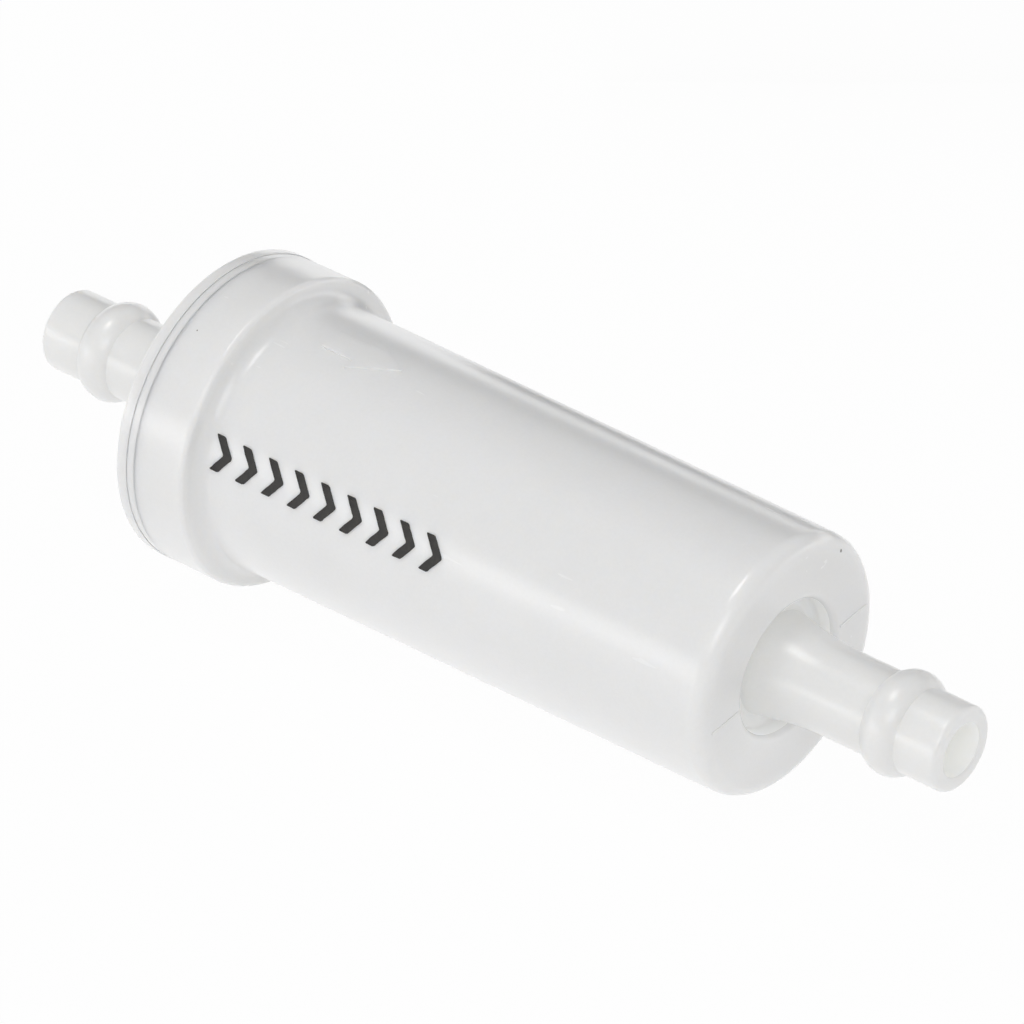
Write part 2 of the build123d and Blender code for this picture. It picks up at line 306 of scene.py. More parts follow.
class Graph:
    """A short hand for adding and joining the nodes of one tree."""

    def __init__(self, tree: Tree) -> None:
        """Takes the tree to work in."""
        self.tree = tree

    @cached_property
    def place(self) -> Socket:
        """The object coordinates."""
        return self.add("TexCoord").outputs["Object"]

    def add(self, kind: str, inputs: dict[str | int, Any] | None = None, **settings: Any) -> Node:
        """Adds a node.

        Args:
            kind: The node's type, without the ShaderNode prefix where it has that.
            inputs: A value for each named input, or the output socket that feeds it.
            settings: The node's own settings.

        Returns:
            The new node.
        """
        node = self.tree.nodes.new(kind if kind.startswith("NodeGroup") else f"ShaderNode{kind}")
        for name, value in settings.items():
            setattr(node, name, value)
        self.feed(node, inputs or {})
        return node

    def feed(self, node: Node, inputs: dict[str | int, Any]) -> None:
        """Gives a node its inputs.

        Args:
            node: The node.
            inputs: A value for each input, or the output socket that feeds it.
        """
        for name, value in inputs.items():
            if isinstance(value, Socket):
                self.tree.links.new(value, node.inputs[name])
            else:
                node.inputs[name].default_value = value

    def math(self, operation: str, *values: Any, clamp: bool = False) -> Socket:
        """Adds a sum on numbers.

        Args:
            operation: Blender's name of the operation.
            values: Its numbers, or the sockets that feed them.
            clamp: Whether the result is kept between 0 and 1.

        Returns:
            The socket with the result.
        """
        node = self.add("Math", dict(enumerate(values)), operation=operation, use_clamp=clamp)
        return node.outputs[0]

    def blend(self, factor: Any, first: Any, second: Any) -> Socket:
        """Adds a mix of two colours.

        Args:
            factor: Share of the second colour.
            first: The first colour, or the socket that feeds it.
            second: The second colour, or the socket that feeds it.

        Returns:
            The socket with the mixed colour.
        """
        node = self.add("Mix", data_type="RGBA")
        self.feed(node, {0: factor, 6: first, 7: second})
        return node.outputs[2]

    def spread(
        self, value: Any, low: float, high: float, start: float = 0.0, end: float = 1.0
    ) -> Socket:
        """Adds a smooth rescaling of a number.

        Args:
            value: The socket that feeds the number.
            low: Its value where the result is start.
            high: Its value where the result is end.
            start: Result at low.
            end: Result at high.

        Returns:
            The socket with the result.
        """
        limits = {"From Min": low, "From Max": high, "To Min": start, "To Max": end}
        node = self.add("MapRange", {"Value": value, **limits}, interpolation_type="SMOOTHSTEP")
        return node.outputs["Result"]

    def noise(self, place: Any, scale: Any, detail: float, **others: float) -> Socket:
        """Adds a noise.

        Args:
            place: The socket that feeds its coordinates.
            scale: Its scale, or the socket that feeds it.
            detail: Its octaves.
            others: Its other inputs.

        Returns:
            The socket with the noise, from 0 to 1.
        """
        node = self.add("TexNoise", {"Vector": place, "Scale": scale, "Detail": detail, **others})
        return node.outputs["Fac"]

    def use(self, effect: Effect, inputs: dict[str, Any]) -> Outputs:
        """Places a shared effect at the object coordinates.

        Args:
            effect: The effect.
            inputs: Its values here, or the sockets that feed them.

        Returns:
            The effect's outputs.
        """
        shared = EFFECTS.group(effect)
        return self.add("Group", {"Vector": self.place, **inputs}, node_tree=shared).outputs


def clear_graph(owner: Material | bpy.types.World) -> Graph:
    """Empties the node tree of a material or of the world.

    Args:
        owner: The material or the world.

    Returns:
        The tree's graph.
    """
    owner.use_nodes = True
    owner.node_tree.nodes.clear()
    return Graph(owner.node_tree)


class Effect(Enum):
    """The effects that more than one finish uses, each a shared node group."""

    CLOUD = "moulding_cloud"
    SPECKS = "buried_specks"
    SCUFFS = "handling_scuffs"
    FIBRES = "felted_fibres"


VALUE = "NodeSocketFloat"
TINT = "NodeSocketColor"
VECTOR = "NodeSocketVector"


class EffectLibrary:
    """Builds each shared effect once, the first time that a finish asks for it."""

    drift_band = (0.3, 0.7)  # over this band of the noise one tone gives way to the other
    hair_band = (0.66, 0.8)  # over this one a hair scratch comes up
    patch_band = (0.4, 0.7)  # and over this one a worn patch
    gap_band = (0.35, 0.65)  # and here a gap between the fibres closes
    palest_speck = 0.35  # cover of the palest speck
    speck_range = 0.6  # and how much more of it the darkest has
    hair_slants = (0.35, -0.8)
    hair_tilt = (0.4, 0.2)
    hair_draw = (0.12, 1.0, 1.0)  # draws the scratches out one way
    patch_share = 0.12  # scale of the patches over that of the scratches
    scuff_roughness = 0.2  # how much rougher a scratch is

    def group(self, effect: Effect) -> Tree:
        """The node group of an effect.

        Args:
            effect: The effect.

        Returns:
            Its node group, built if need be.
        """
        makers = {
            Effect.CLOUD: self._cloud,
            Effect.SPECKS: self._specks,
            Effect.SCUFFS: self._scuffs,
            Effect.FIBRES: self._fibres,
        }
        tree = bpy.data.node_groups.get(effect.value)
        if tree is None:
            tree = bpy.data.node_groups.new(effect.value, "ShaderNodeTree")
            makers[effect](tree)
        return tree

    def _open(
        self, tree: Tree, takes: dict[str, Sequence[str]], gives: dict[str, Sequence[str]]
    ) -> tuple[Graph, Outputs, Node]:
        """Gives a new group its sockets, the first of which is the place.

        Args:
            tree: The group.
            takes: The other inputs' names, by socket type.
            gives: The outputs' names, by socket type.

        Returns:
            The graph, the sockets that bring values in, and the node that takes them out.
        """
        takes = {VECTOR: ("Vector",), **takes}
        for way, kinds in (("INPUT", takes), ("OUTPUT", gives)):
            for kind, names in kinds.items():
                for name in names:
                    tree.interface.new_socket(name, in_out=way, socket_type=kind)
        graph = Graph(tree)
        return graph, graph.add("NodeGroupInput").outputs, graph.add("NodeGroupOutput")

    def _cloud(self, tree: Tree) -> None:
        """Slow drifts of tone through a moulding, with a fine grain on its skin."""
        values = ("Drift Scale", "Drift", "Grain Scale", "Grain", "Roughness", "Roughness Spread")
        graph, given, out = self._open(
            tree,
            {TINT: ("Color", "Drift Color"), VALUE: values},
            {TINT: ("Color",), VALUE: ("Roughness", "Height")},
        )
        slow = graph.noise(given["Vector"], given["Drift Scale"], 3.0, Roughness=0.55)
        fine = graph.noise(given["Vector"], given["Grain Scale"], 2.0, Roughness=0.6)
        amount = graph.math("MULTIPLY", graph.spread(slow, *self.drift_band), given["Drift"])
        drifted = graph.blend(amount, given["Color"], given["Drift Color"])
        grain = graph.math("MULTIPLY", graph.math("SUBTRACT", fine, 0.5), given["Grain"])
        shade = graph.math("ADD", 1.0, grain)
        shaded = graph.add("VectorMath", {0: drifted, "Scale": shade}, operation="SCALE")
        wander = graph.math("MULTIPLY", graph.math("SUBTRACT", slow, 0.5), given["Roughness Spread"])
        rough = graph.math("ADD", given["Roughness"], graph.math("MULTIPLY", wander, 2.0), clamp=True)
        graph.feed(out, {"Color": shaded.outputs[0], "Roughness": rough, "Height": fine})

    def _specks(self, tree: Tree) -> None:
        """Scattered dark specks, one at most in each cell."""
        graph, given, out = self._open(
            tree,
            {TINT: ("Color", "Speck Color"), VALUE: ("Cell Scale", "Share", "Size")},
            {TINT: ("Color",)},
        )
        layout = {"Vector": given["Vector"], "Scale": given["Cell Scale"], "Randomness": 1.0}
        cells = graph.add("TexVoronoi", layout).outputs
        draw = graph.add("SeparateColor", {"Color": cells["Color"]}).outputs
        reach = graph.math("MULTIPLY", given["Size"], graph.math("ADD", 0.5, draw["Green"]))
        near = graph.math("LESS_THAN", cells["Distance"], reach)
        kept = graph.math("LESS_THAN", draw["Red"], given["Share"])
        deeper = graph.math("MULTIPLY", draw["Blue"], self.speck_range)
        darkness = graph.math("ADD", self.palest_speck, deeper)
        cover = graph.math("MULTIPLY", graph.math("MULTIPLY", near, kept), darkness)
        graph.feed(out, {"Color": graph.blend(cover, given["Color"], given["Speck Color"])})

    def _scuffs(self, tree: Tree) -> None:
        """Short hair scratches in two directions, gathered in worn patches."""
        graph, given, out = self._open(
            tree, {VALUE: ("Scale", "Amount", "Roughness")}, {VALUE: ("Roughness",)}
        )
        hairs = []
        for slant in self.hair_slants:
            stance = {"Rotation": (*self.hair_tilt, slant), "Scale": self.hair_draw}
            turned = graph.add("Mapping", {"Vector": given["Vector"], **stance})
            streaks = graph.noise(turned.outputs[0], given["Scale"], 2.0)
            hairs.append(graph.spread(streaks, *self.hair_band))
        patch_scale = graph.math("MULTIPLY", given["Scale"], self.patch_share)
        worn = graph.spread(graph.noise(given["Vector"], patch_scale, 2.0), *self.patch_band)
        scratched = graph.math("MULTIPLY", graph.math("MAXIMUM", *hairs), worn)
        mask = graph.math("MULTIPLY", scratched, given["Amount"])
        rougher = graph.math("MULTIPLY", mask, self.scuff_roughness)
        graph.feed(out, {"Roughness": graph.math("ADD", given["Roughness"], rougher, clamp=True)})

    def _fibres(self, tree: Tree) -> None:
        """Short fibres felted together, drawn out along the flow axis."""
        graph, given, out = self._open(
            tree,
            {TINT: ("Color", "Gap Color"), VALUE: ("Scale", "Stretch", "Contrast")},
            {TINT: ("Color",), VALUE: ("Height",)},
        )
        stretch = graph.add("CombineXYZ", {"X": given["Stretch"], "Y": 1.0, "Z": 1.0})
        drawn = graph.add("VectorMath", {0: given["Vector"], 1: stretch.outputs[0]}, operation="MULTIPLY")
        felt = graph.noise(drawn.outputs[0], given["Scale"], 5.0, Roughness=0.7, Distortion=0.8)
        gaps = graph.math("MULTIPLY", graph.spread(felt, *self.gap_band, 1.0, 0.0), given["Contrast"])
        graph.feed(out, {"Color": graph.blend(gaps, given["Color"], given["Gap Color"]), "Height": felt})


EFFECTS = EffectLibrary()


@dataclass(frozen=True)
class Finish:
    """What every finish shares: a name, its colours, and a material built from nodes."""

    name: str
    colour: Colour
    second_colour: Colour
    roughness: float = 0.4
    bump: float = 0.1
    bump_depth: float = 0.02 * MM

    def paint(self, graph: Graph) -> tuple[dict[str, Any], Socket]:
        """Draws what sets this finish apart.

        Args:
            graph: The material's graph.

        Returns:
            The shader's inputs, and the height that bumps the surface.
        """
        raise NotImplementedError

    def make(self) -> Material:
        """Builds the material.

        Returns:
            The material.
        """
        material = bpy.data.materials.new(self.name)
        graph = clear_graph(material)
        inputs, height = self.paint(graph)
        bump = graph.add("Bump", {"Height": height, "Strength": self.bump, "Distance": self.bump_depth})
        shader = graph.add("BsdfPrincipled", {**inputs, "Normal": bump.outputs["Normal"]})
        graph.add("OutputMaterial", {"Surface": shader.outputs[0]})
        return material


def rgba(colour: Colour) -> tuple[float, float, float, float]:
    """The colour with full cover."""
    return (*colour, 1.0)


@cache
def material_of(finish: Finish) -> Material:
    """The material of a finish, made the first time that a piece asks for it."""
    return finish.make()


@dataclass(frozen=True)
class CloudyFinish(Finish):
    """A finish whose tone drifts, with a fine grain on its skin and hair scratches."""

    drift_scale: float = 75.0
    drift: float = 0.8
    grain_scale: float = 3200.0
    grain: float = 0.05
    roughness_spread: float = 0.05
    scuff: float = 0.25
    scuff_scale: float = 900.0

    def cloud(self, graph: Graph) -> Outputs:
        """Places the drifts and the grain, and returns their colour, roughness and height."""
        values = {
            "Color": rgba(self.colour),
            "Drift Color": rgba(self.second_colour),
            "Drift Scale": self.drift_scale,
            "Drift": self.drift,
            "Grain Scale": self.grain_scale,
            "Grain": self.grain,
            "Roughness": self.roughness,
            "Roughness Spread": self.roughness_spread,
        }
        return graph.use(Effect.CLOUD, values)

    def scuffs(self, graph: Graph, roughness: Socket) -> Socket:
        """Adds the hair scratches to a roughness, and returns it."""
        values = {"Scale": self.scuff_scale, "Amount": self.scuff, "Roughness": roughness}
        return graph.use(Effect.SCUFFS, values)["Roughness"]


@dataclass(frozen=True)
class MilkyNylon(CloudyFinish):
    """Natural nylon: milky, faintly warm and cool by turns, with a satin skin and a few dark specks."""

    speck_colour: Colour = (0.16, 0.14, 0.12)
    speck_scale: float = 210.0
    speck_share: float = 0.08
    speck_size: float = 0.035  # over a cell's width
    depth: float = 1.2 * MM  # how far light travels under the skin
    sink: Colour = (1.0, 0.96, 0.9)  # how far each colour of it gets, over that depth
    ior: float = 1.53
    painted_glow: float = 0.0  # painted glow: an emission that stands in for light coming through the wall from outside
    skin: float = 0.9  # weight of the smooth skin that the mould leaves
    skin_roughness: float = 0.28

    def paint(self, graph: Graph) -> tuple[dict[str, Any], Socket]:
        """Sinks light into cloudy, specked nylon."""
        body = self.cloud(graph)
        specks = {
            "Color": body["Color"],
            "Speck Color": rgba(self.speck_colour),
            "Cell Scale": self.speck_scale,
            "Share": self.speck_share,
            "Size": self.speck_size,
        }
        inputs = {
            "Base Color": graph.use(Effect.SPECKS, specks)["Color"],
            "Roughness": self.scuffs(graph, body["Roughness"]),
            "IOR": self.ior,
            "Coat Weight": self.skin,
            "Coat Roughness": self.skin_roughness,
            "Subsurface Weight": 1.0,
            "Subsurface Radius": self.sink,
            "Subsurface Scale": self.depth,
            # painted glow: this emission lightens the surface as if light came through the wall
            "Emission Color": body["Color"],
            "Emission Strength": self.painted_glow,
        }
        return inputs, body["Height"]


@dataclass(frozen=True)
class PrintedInk(CloudyFinish):
    """Black pad-printed ink, mottled where it lies thin."""

    drift_scale: float = 1500.0
    drift: float = 0.55
    grain_scale: float = 7000.0
    grain: float = 0.9
    roughness_spread: float = 0.12

    def paint(self, graph: Graph) -> tuple[dict[str, Any], Socket]:
        """Mottles the film."""
        film = self.cloud(graph)
        return {"Base Color": film["Color"], "Roughness": film["Roughness"]}, film["Height"]


@dataclass(frozen=True)
class PlainMoulding(CloudyFinish):
    """A plain moulded plastic or rubber."""

    drift_scale: float = 120.0
    drift: float = 0.7
    grain_scale: float = 2400.0
    grain: float = 0.12
    roughness_spread: float = 0.08
    scuff: float = 0.6
    coat: float = 0.0

    def paint(self, graph: Graph) -> tuple[dict[str, Any], Socket]:
        """Draws the drifts, the grain and the scratches."""
        body = self.cloud(graph)
        roughness = self.scuffs(graph, body["Roughness"])
        inputs = {"Base Color": body["Color"], "Roughness": roughness, "Coat Weight": self.coat}
        return inputs, body["Height"]


@dataclass(frozen=True)
class FeltedSheet(Finish):
    """Filter paper or seam tape: felted fibres with darker gaps between them, and darker flecks."""

    fibre_scale: float = 1600.0
    stretch: float = 0.3
    contrast: float = 0.6
    fleck_scale: float = 700.0
    fleck_share: float = 0.3
    fleck_size: float = 0.12  # over a cell's width
    roughness_band: tuple[float, float] = (0.2, 0.8)  # height over which it grows rougher
    roughness_spread: float = 0.08

    def paint(self, graph: Graph) -> tuple[dict[str, Any], Socket]:
        """Felts the fibres and strews the flecks."""
        darker = rgba(self.second_colour)
        fibres = {
            "Color": rgba(self.colour),
            "Gap Color": darker,
            "Scale": self.fibre_scale,
            "Stretch": self.stretch,
            "Contrast": self.contrast,
        }
        felt = graph.use(Effect.FIBRES, fibres)
        flecks = {
            "Color": felt["Color"],
            "Speck Color": darker,
            "Cell Scale": self.fleck_scale,
            "Share": self.fleck_share,
            "Size": self.fleck_size,
        }
        smoothest = self.roughness - self.roughness_spread
        roughness = graph.spread(felt["Height"], *self.roughness_band, smoothest, self.roughness)
        base = graph.use(Effect.SPECKS, flecks)["Color"]
        return {"Base Color": base, "Roughness": roughness}, felt["Height"]


BODY_TONES = (0.93, 0.93, 0.925), (0.90, 0.90, 0.895)
WELD_TONES = (0.92, 0.92, 0.91), (0.88, 0.88, 0.87)
HOUSING_NYLON = MilkyNylon("milky_nylon_housing", *BODY_TONES, 0.25)
CAP_NYLON = MilkyNylon("milky_nylon_cap", *BODY_TONES, 0.24, depth=0.4 * MM)
WELD_NYLON = MilkyNylon("remelted_nylon_weld", *WELD_TONES, 0.22, depth=0.4 * MM)
# a darker copy of the housing nylon for the nipples: its lower tone is painted shade; its longer light
# path and rougher skin are the thin wall's own
SHADED_THIN_NYLON = MilkyNylon(
    "milky_nylon_thin_wall_painted_shade", (0.9, 0.9, 0.895), (0.87, 0.87, 0.865), 0.3, depth=1.5 * MM
)
# a brighter copy of the nylon with a painted glow, for the port and the recess: painted light in their
# shade
GLOWING_PORT_NYLON = MilkyNylon(
    "milky_nylon_port_painted_glow", (0.98, 0.985, 0.96), (0.96, 0.965, 0.94), 0.4, depth=1.5 * MM, painted_glow=0.1
)
MARK_INK = PrintedInk("black_pad_print_ink", (0.008, 0.007, 0.006), (0.04, 0.035, 0.03), 0.45)
PLATE_PLASTIC = PlainMoulding("element_plate_plastic", (0.88, 0.88, 0.86), (0.80, 0.80, 0.77), 0.42)
CORE_PLASTIC = PlainMoulding("element_core_plastic", (0.86, 0.86, 0.84), (0.78, 0.78, 0.75), 0.46)
SEAL_RUBBER = PlainMoulding("seal_rubber", (0.045, 0.045, 0.045), (0.08, 0.08, 0.08), 0.6, scuff=0.3)
CAST_ADHESIVE = PlainMoulding(
    "cast_potting", (0.85, 0.85, 0.82), (0.74, 0.73, 0.68), 0.25, drift_scale=200.0, coat=0.3
)
PLEAT_PAPER = FeltedSheet("pleated_filter_paper", (0.86, 0.84, 0.78), (0.70, 0.66, 0.56), 0.92, 0.5)
SEAM_TAPE = FeltedSheet("pleat_seam_tape", (0.86, 0.86, 0.84), (0.70, 0.69, 0.65), 0.85, 0.5, stretch=0.1)


# ---- nylon shells ----


@dataclass
class HoseNipple:
    """A hose nipple with one bead and a through port. Its root may flare out."""

    radius: float = 4.0 * MM
    port_radius: float = 2.5 * MM
    bead_height: float = 0.87 * MM
    bead_width: float = 3.6 * MM
    tip_round: float = 0.6 * MM
    port_edge_round: float = 0.25 * MM
    flare: float = 0.0  # how much wider the root is
    flare_length: float = 0.0
    flare_round: float = 0.0  # run of the round where the flare starts

    def finish_number(self, middle: Vector, root_x: float) -> int:
        """Which finish a face gets: 0 off the nipple, 1 on it, in the darker copy that paints shade, 2 in
        its port, in the brighter copy with a painted glow.

        Args:
            middle: The face's middle.
            root_x: Station where the nipple starts.

        Returns:
            The number of the face's material.
        """
        radius = math.hypot(middle.y, middle.z)
        if abs(middle.x) < abs(root_x) or radius > self.radius + self.flare + self.bead_height:
            return 0
        return 1 if radius > self.port_radius + SLIVER else 2

    def draw(
        self, pen: SectionPen, tip_x: float, bead_setback: float, root_x: float, root_round: float
    ) -> None:
        """Draws the nipple from the port's mouth, round the tip and back to its root.

        Args:
            pen: The pen, in the port.
            tip_x: Station of the tip.
            bead_setback: From the tip to the middle of the bead.
            root_x: Station of the face that the nipple stands on.
            root_round: Radius of the round at the root.
        """
        inward = 1 if root_x > tip_x else -1
        bead_x = tip_x + inward * bead_setback
        half = inward * self.bead_width / 2
        pen.run(
            (tip_x, self.port_radius, self.port_edge_round),
            (tip_x, self.radius, self.tip_round),
            (bead_x - half, self.radius),
        )
        pen.bulge(bead_x + half, self.bead_height)
        if self.flare > 0:
            pen.run((root_x - inward * self.flare_length, self.radius, self.flare_round))
        pen.run((root_x, self.radius + self.flare, root_round))


@dataclass
class InletCap:
    """The cap that closes the housing's mouth, with the inlet nipple and a spigot."""

    tip_x: float
    nipple: HoseNipple = field(default_factory=HoseNipple)
    nipple_length: float = 20.3 * MM
    bead_setback: float = 6.6 * MM
    radius: float = 15.2 * MM
    rim_thickness: float = 1.3 * MM
    plate_thickness: float = 1.9 * MM
    spigot_radius: float = 11.6 * MM
    spigot_length: float = 4.5 * MM
    spigot_wall: float = 1.3 * MM
    edge_round: float = 0.35 * MM
    back_edge_round: float = 0.05 * MM
    root_round: float = 1.0 * MM

    @property
    def face_x(self) -> float:
        """Station of the cap's outer face."""
        return self.tip_x + self.nipple_length

    @property
    def rim_x(self) -> float:
        """Station of the cap's face towards the housing."""
        return self.face_x + self.rim_thickness

    def build(self) -> None:
        """Turns the cap."""
        inner_x = self.face_x + self.plate_thickness
        spigot_end_x = self.rim_x + self.spigot_length
        spigot_inner_radius = self.spigot_radius - self.spigot_wall
        pen = SectionPen(inner_x, self.nipple.port_radius)
        self.nipple.draw(pen, self.tip_x, self.bead_setback, self.face_x, self.root_round)
        pen.run(
            (self.face_x, self.radius, self.edge_round),
            (self.rim_x, self.radius, self.back_edge_round),
            (self.rim_x, self.spigot_radius),
            (spigot_end_x, self.spigot_radius),
            (spigot_end_x, spigot_inner_radius),
            (inner_x, spigot_inner_radius),
        )
        mesh = pen.turn()
        for face in mesh.faces:
            face.material_index = self.nipple.finish_number(face.calc_center_median(), self.face_x)
        finishes = (CAP_NYLON, SHADED_THIN_NYLON, GLOWING_PORT_NYLON)
        finish_piece("cap_shell", mesh, finishes, "nylon_cap", "inlet_cap")


@dataclass
class WeldRing:
    """The ring of remelted nylon that joins the cap to the housing, with a fine groove on each side."""

    start_x: float
    end_x: float
    radius: float = 15.12 * MM
    inner_radius: float = 11.65 * MM
    groove_width: float = 0.05 * MM
    groove_depth: float = 0.015 * MM
    edge_round: float = 0.01 * MM

    def build(self) -> None:
        """Turns the ring."""
        groove_radius = self.radius - self.groove_depth
        back_x, front_x = self.start_x + self.groove_width, self.end_x - self.groove_width
        pen = SectionPen(self.start_x, self.inner_radius)
        pen.run(
            (self.start_x, groove_radius),
            (back_x, groove_radius),
            (back_x, self.radius, self.edge_round),
            (front_x, self.radius, self.edge_round),
            (front_x, groove_radius),
            (self.end_x, groove_radius),
            (self.end_x, self.inner_radius),
        )
        finish_piece("weld_bead", pen.turn(), [WELD_NYLON], "nylon_weld", "weld_ring")


@dataclass
class FlowArrow:
    """The raised arrow on the barrel that shows which way the fuel flows. It is cut at the top."""

    tail_x: float
    turn: float = math.radians(3.65)
    height: float = 0.2 * MM
    tail_length: float = 3.7 * MM
    tail_width: float = 2.75 * MM
    head_length: float = 4.65 * MM
    head_width: float = 4.95 * MM
    edge_round: float = 0.14 * MM

    def holds(self, x: float, across: float) -> bool:
        """Whether a place on the barrel lies inside the arrow's outline."""
        barb_x = self.tail_x + self.tail_length
        if self.tail_x < x < barb_x:
            return abs(across) < self.tail_width / 2
        share = (barb_x + self.head_length - x) / self.head_length
        return 0 < share <= 1 and abs(across) < share * self.head_width / 2

    def raise_on(self, mesh: Mesh, on_wall: Callable[[Vector], bool]) -> None:
        """Cuts the outline into the top of the barrel and raises it.

        Args:
            mesh: The housing.
            on_wall: Tells whether a point is on the barrel's outer wall.
        """
        barb_x = self.tail_x + self.tail_length
        tip_x = barb_x + self.head_length
        cuts = [((x, 0, 0), (1, 0, 0)) for x in (self.tail_x, barb_x, tip_x)]
        for side in (-1, 1):
            cuts.append(((0, side * self.tail_width / 2, 0), (0, 1, 0)))
            cuts.append(((tip_x, 0, 0), (self.head_width / 2, side * self.head_length, 0)))

        def nearby(middle: Vector) -> bool:
            return on_wall(middle) and middle.z > 0 and abs(middle.y) < self.head_width

        for point, normal in cuts:
            cut_faces(mesh, faces_where(mesh, nearby), Vector(point), Vector(normal))
        inside = faces_where(mesh, lambda middle: nearby(middle) and self.holds(middle.x, middle.y))
        tops = raise_faces(mesh, inside, lambda point: outward(point) * self.height)
        soften_rim(mesh, tops, self.edge_round)


@dataclass
class PartingLine:
    """The hair of flash that the mould's parting leaves across the end face."""

    turn: float = math.radians(96.1)
    width: float = 0.22 * MM
    height: float = 0.07 * MM
    edge_round: float = 0.02 * MM

    def raise_on(self, mesh: Mesh, face_x: float, start_radius: float, end_radius: float) -> None:
        """Cuts the line into the end face and raises it.

        Args:
            mesh: The housing.
            face_x: Station of the end face.
            start_radius: Radius where the line starts.
            end_radius: Radius where it ends.
        """
        along = about_axis(self.turn)
        across = Vector((1, 0, 0)).cross(along)

        def on_face(middle: Vector) -> bool:
            radius = math.hypot(middle.y, middle.z)
            return abs(middle.x - face_x) < ON_PLANE and start_radius < radius < end_radius

        for side in (-1, 1):
            cut_faces(mesh, faces_where(mesh, on_face), across * side * self.width / 2, across)
        inside = faces_where(
            mesh, lambda middle: on_face(middle) and abs(middle.dot(across)) < self.width / 2
        )
        tops = raise_faces(mesh, inside, lambda point: Vector((self.height, 0, 0)))
        soften_rim(mesh, tops, self.edge_round)


@dataclass
class HousingBody:
    """The barrel with its flange, the recess in its end face and the outlet nipple."""

    mouth_x: float
    nipple: HoseNipple = field(
        default_factory=lambda: HoseNipple(flare=1.0 * MM, flare_length=5.55 * MM, flare_round=1.8 * MM)
    )
    nipple_length: float = 18.7 * MM
    bead_setback: float = 6.2 * MM
    flange_radius: float = 15.15 * MM
    flange_thickness: float = 5.8 * MM
    flange_edge_round: float = 0.5 * MM
    mouth_edge_round: float = 0.05 * MM
    barrel_length: float = 57.9 * MM
    root_radius: float = 13.05 * MM
    draft: float = math.radians(0.67)
    root_round: float = 1.6 * MM
    end_round: float = 1.6 * MM
    wall: float = 1.4 * MM
    end_wall: float = 1.8 * MM
    moat_radius: float = 6.4 * MM
    moat_depth: float = 2.0 * MM
    moat_floor: float = 1.5 * MM
    moat_lip_round: float = 0.7 * MM
    moat_root_round: float = 0.4 * MM
    socket_depth: float = 4.0 * MM
    socket_radius: float = 3.75 * MM
    socket_wall: float = 1.2 * MM
    arrow_setback: float = 5.7 * MM
    wall_slack: float = 0.1 * MM  # a face this near to the barrel's cone is on its wall

    @property
    def shoulder_x(self) -> float:
        """Station of the flange's front face."""
        return self.mouth_x + self.flange_thickness

    @property
    def end_x(self) -> float:
        """Station of the end face."""
        return self.shoulder_x + self.barrel_length

    def barrel_radius(self, x: float) -> float:
        """Radius of the barrel's outer wall at a station."""
        return self.root_radius - (x - self.shoulder_x) * math.tan(self.draft)

    def on_wall(self, point: Vector) -> bool:
        """Whether a point is on the straight part of the barrel's outer wall."""
        start_x = self.shoulder_x + self.root_round - ON_PLANE
        off_cone = abs(math.hypot(point.y, point.z) - self.barrel_radius(point.x))
        return start_x < point.x < self.end_x - self.end_round + ON_PLANE and off_cone < self.wall_slack

    def finish_number(self, middle: Vector) -> int:
        """Which finish a face gets: 0 on the body, 1 on the nipple, in the darker copy that paints shade,
        2 in the port and the recess, in the brighter copy with a painted glow.

        Args:
            middle: The face's middle.

        Returns:
            The number of the face's material.
        """
        floor_x = self.end_x - self.moat_depth
        radius = math.hypot(middle.y, middle.z)
        if floor_x - SLIVER < middle.x < self.end_x and radius < self.moat_radius + SLIVER:
            on_floor = middle.x < floor_x + self.moat_root_round
            on_wall = radius > self.moat_radius - 2 * SLIVER
            return 2 if on_floor or on_wall or radius < self.nipple.radius else 1
        return self.nipple.finish_number(middle, floor_x - self.moat_floor)

    def draw(self) -> SectionPen:
        """Draws the half section, from the port round the outside and back through the inside.

        Returns:
            The pen, with the whole outline.
        """
        end_radius = self.barrel_radius(self.end_x)
        floor_x = self.end_x - self.moat_depth
        boss_x = floor_x - self.moat_floor
        boss_radius = self.moat_radius + self.wall
        cavity_end_x = self.end_x - self.end_wall
        collar_radius = self.socket_radius + self.socket_wall
        pen = SectionPen(boss_x, self.nipple.port_radius)
        self.nipple.draw(
            pen, self.end_x + self.nipple_length, self.bead_setback, floor_x, self.moat_root_round
        )
        pen.run(
            (floor_x, self.moat_radius, self.moat_root_round),
            (self.end_x, self.moat_radius, self.moat_lip_round),
            (self.end_x, end_radius, self.end_round),
            (self.shoulder_x, self.root_radius, self.root_round),
            (self.shoulder_x, self.flange_radius, self.flange_edge_round),
            (self.mouth_x, self.flange_radius, self.mouth_edge_round),
            (self.mouth_x, self.root_radius - self.wall),
            (cavity_end_x, end_radius - self.wall),
            (cavity_end_x, boss_radius),
            (boss_x, boss_radius),
            (boss_x, collar_radius),
            (boss_x - self.socket_depth, collar_radius),
            (boss_x - self.socket_depth, self.socket_radius),
            (boss_x, self.socket_radius),
        )
        return pen

    def build(self) -> None:
        """Turns the housing, then raises the flow arrow and the parting line on it."""
        mesh = self.draw().turn()
        arrow = FlowArrow(self.shoulder_x + self.arrow_setback)
        arrow.raise_on(mesh, self.on_wall)
        bmesh.ops.rotate(
            mesh, verts=mesh.verts, cent=(0, 0, 0), matrix=Matrix.Rotation(arrow.turn, 3, "X")
        )
        PartingLine().raise_on(
            mesh,
            self.end_x,
            self.moat_radius + self.moat_lip_round,
            self.barrel_radius(self.end_x) - self.end_round,
        )
        for face in mesh.faces:
            face.material_index = self.finish_number(face.calc_center_median())
        finishes = (HOUSING_NYLON, SHADED_THIN_NYLON, GLOWING_PORT_NYLON)
        finish_piece("housing_shell", mesh, finishes, "nylon_housing", "housing_body")


